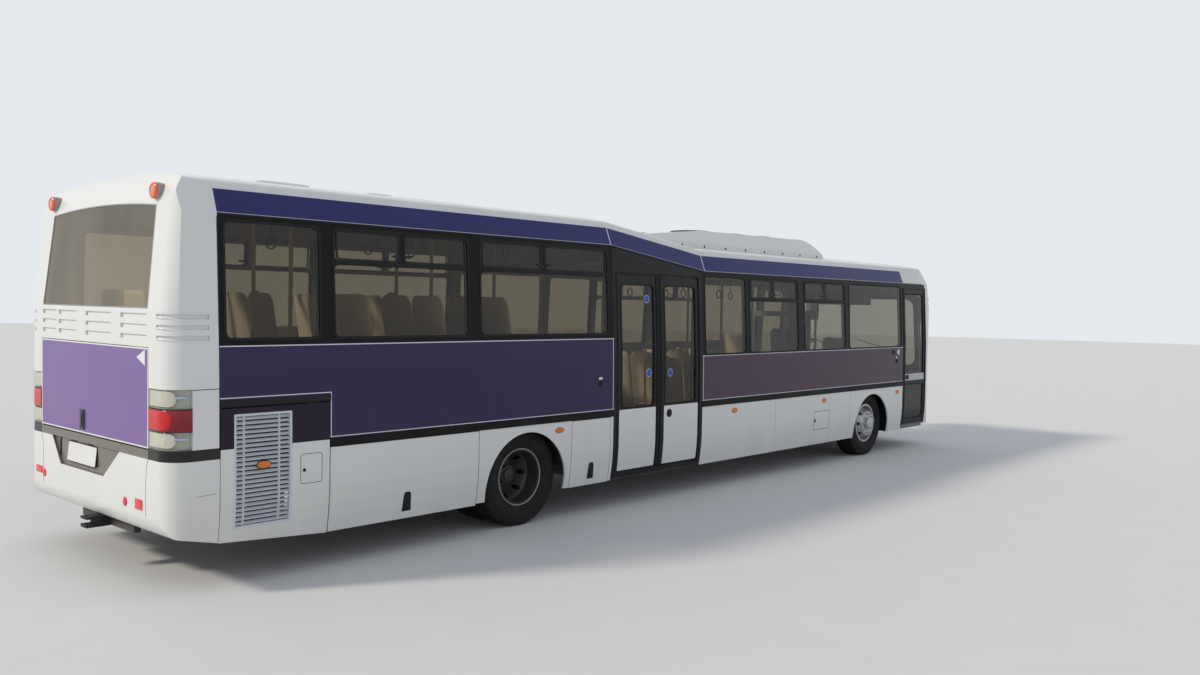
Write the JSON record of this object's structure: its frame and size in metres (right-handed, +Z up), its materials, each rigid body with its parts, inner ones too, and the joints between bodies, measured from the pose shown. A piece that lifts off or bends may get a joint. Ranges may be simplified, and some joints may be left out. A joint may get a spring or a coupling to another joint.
{
  "type": "low-entry city bus",
  "caption": "Single-deck low-entry city bus with a raised rear saloon, a stepped roof, a middle door and a front door on the right, steered front wheels and twin rear wheels.",
  "frame": {"origin": "on the road, in the middle of the bus's length and width, mirrors and towing jaw included", "axes": "+X forward, +Y to the left, +Z up"},
  "size_m": [12.19, 2.55, 3.002],
  "materials": {
    "body_white": "gloss",
    "side_colour": "gloss film",
    "lid_colour": "gloss film",
    "black_frame": "satin",
    "tinted_glass": "tinted",
    "tyre_rubber": "matt",
    "rim_steel": "satin",
    "chassis_paint": "matt",
    "floor_covering": "matt",
    "engine_iron": "matt",
    "radiator_alloy": "matt",
    "grille_alloy": "gloss",
    "tank_plastic": "matt",
    "seat_cover": "woven",
    "grey_trim": "grained",
    "black_plastic": "satin",
    "yellow_rail": "gloss",
    "lamp_red": "clear",
    "lamp_clear": "clear",
    "lamp_amber": "clear",
    "seat_shell": "moulded",
    "rubber_black": "matt",
    "sign_blue": "printed",
    "mirror_silver": "polished"
  },
  "bodies": {
    "root": {"chassis_frame": "chassis_paint", "dashboard": "grey_trim", "door_portal": "black_frame", "driver_partition": "grey_trim", "driver_seat": "seat_cover", "engine_block": "engine_iron", "floor_low": "floor_covering", "floor_raised": "floor_covering", "front_axle": "chassis_paint", "front_bumper": "body_white", "front_wall": "body_white", "fuel_tank": "tank_plastic", "handrails": "yellow_rail", "headlamps": "lamp_clear", "marker_lamps": "lamp_amber", "mirrors": "black_plastic", "passenger_seats": "seat_shell", "radiator": "radiator_alloy", "rear_axle": "chassis_paint", "rear_bumper": "body_white", "rear_lamps": "lamp_red", "rear_wall": "body_white", "rear_window": "tinted_glass", "roof_front": "body_white", "roof_hatches": "body_white", "roof_rear": "body_white", "roof_step": "body_white", "roof_unit": "body_white", "seat_stands": "grey_trim", "side_glass": "tinted_glass", "skirts": "body_white", "tow_couplings": "chassis_paint", "wall_left": "side_colour", "wall_right_front": "side_colour", "wall_right_rear": "side_colour", "wheelhouses": "chassis_paint", "windscreen": "tinted_glass"},
    "knuckle_left": {"knuckle_left": "chassis_paint"},
    "knuckle_right": {"knuckle_right": "chassis_paint"},
    "tie_rod": {"tie_rod": "chassis_paint"},
    "wheel_front_left": {"front_tyre_left": "tyre_rubber", "front_rim_left": "rim_steel"},
    "wheel_front_right": {"front_tyre_right": "tyre_rubber", "front_rim_right": "rim_steel"},
    "wheels_rear_left": {"rear_tyres_left": "tyre_rubber", "rear_rims_left": "rim_steel"},
    "wheels_rear_right": {"rear_tyres_right": "tyre_rubber", "rear_rims_right": "rim_steel"},
    "steering_wheel": {"steering_wheel": "black_plastic"},
    "front_door": {"front_door": "black_frame", "front_door_glass": "tinted_glass"},
    "middle_door_rear": {"middle_door_rear": "black_frame", "middle_door_rear_glass": "tinted_glass"},
    "middle_door_front": {"middle_door_front": "black_frame", "middle_door_front_glass": "tinted_glass"},
    "engine_lid": {"engine_lid": "lid_colour"},
    "engine_flap": {"engine_flap": "body_white", "louvre_grille": "grille_alloy"},
    "battery_flap": {"battery_flap": "body_white"},
    "service_flap": {"service_flap": "body_white"}
  },
  "joints": [
    {"name": "steer_left", "type": "hinge", "parent": "root", "child": "knuckle_left", "pos_m": [3.905, 0.87, 0.4475], "axis": [0, 0, 1], "range_deg": [-45, 45]},
    {"name": "steer_right", "type": "hinge", "parent": "root", "child": "knuckle_right", "pos_m": [3.905, -0.87, 0.4475], "axis": [0, 0, 1], "range_deg": [-45, 45]},
    {"name": "tie_rod_swivel", "type": "hinge", "parent": "knuckle_left", "child": "tie_rod", "pos_m": [3.705, 0.87, 0.245], "axis": [0, 0, 1], "range_deg": [-45, 45]},
    {"name": "roll_front_left", "type": "hinge", "parent": "knuckle_left", "child": "wheel_front_left", "pos_m": [3.905, 1.04, 0.4475], "axis": [0, 1, 0], "continuous": true},
    {"name": "roll_front_right", "type": "hinge", "parent": "knuckle_right", "child": "wheel_front_right", "pos_m": [3.905, -1.04, 0.4475], "axis": [0, 1, 0], "continuous": true},
    {"name": "roll_rear_left", "type": "hinge", "parent": "root", "child": "wheels_rear_left", "pos_m": [-2.725, 0.885, 0.4475], "axis": [0, 1, 0], "continuous": true},
    {"name": "roll_rear_right", "type": "hinge", "parent": "root", "child": "wheels_rear_right", "pos_m": [-2.725, -0.885, 0.4475], "axis": [0, 1, 0], "continuous": true},
    {"name": "steering_wheel_turn", "type": "hinge", "parent": "root", "child": "steering_wheel", "pos_m": [5.195, 0.64, 1.4], "axis": [-0.5736, 0, 0.8192], "range_deg": [-720, 720]},
    {"name": "front_door_swing", "type": "hinge", "parent": "root", "child": "front_door", "pos_m": [4.87, -1.18, 1.35], "axis": [0, 0, 1], "range_deg": [0, 88]},
    {"name": "middle_door_rear_swing", "type": "hinge", "parent": "root", "child": "middle_door_rear", "pos_m": [-1.465, -1.18, 1.35], "axis": [0, 0, 1], "range_deg": [0, 88]},
    {"name": "middle_door_front_swing", "type": "hinge", "parent": "root", "child": "middle_door_front", "pos_m": [-0.175, -1.18, 1.35], "axis": [0, 0, -1], "range_deg": [0, 88]},
    {"name": "engine_lid_lift", "type": "hinge", "parent": "root", "child": "engine_lid", "pos_m": [-6.045, 0, 1.684], "axis": [0, 1, 0], "range_deg": [0, 75]},
    {"name": "engine_flap_lift", "type": "hinge", "parent": "root", "child": "engine_flap", "pos_m": [-5.245, -1.266, 1.268], "axis": [-1, 0, 0], "range_deg": [0, 80]},
    {"name": "battery_flap_lift", "type": "hinge", "parent": "root", "child": "battery_flap", "pos_m": [-4.061, -1.269, 0.924], "axis": [-1, 0, 0], "range_deg": [0, 85]},
    {"name": "service_flap_lift", "type": "hinge", "parent": "root", "child": "service_flap", "pos_m": [-1.881, -1.269, 0.924], "axis": [-1, 0, 0], "range_deg": [0, 85]}
  ],
  "couplings": [
    {"joint": "steer_right", "follows": "steer_left", "ratio": 1},
    {"joint": "tie_rod_swivel", "follows": "steer_left", "ratio": -1},
    {"joint": "steering_wheel_turn", "follows": "steer_left", "ratio": 16}
  ]
}
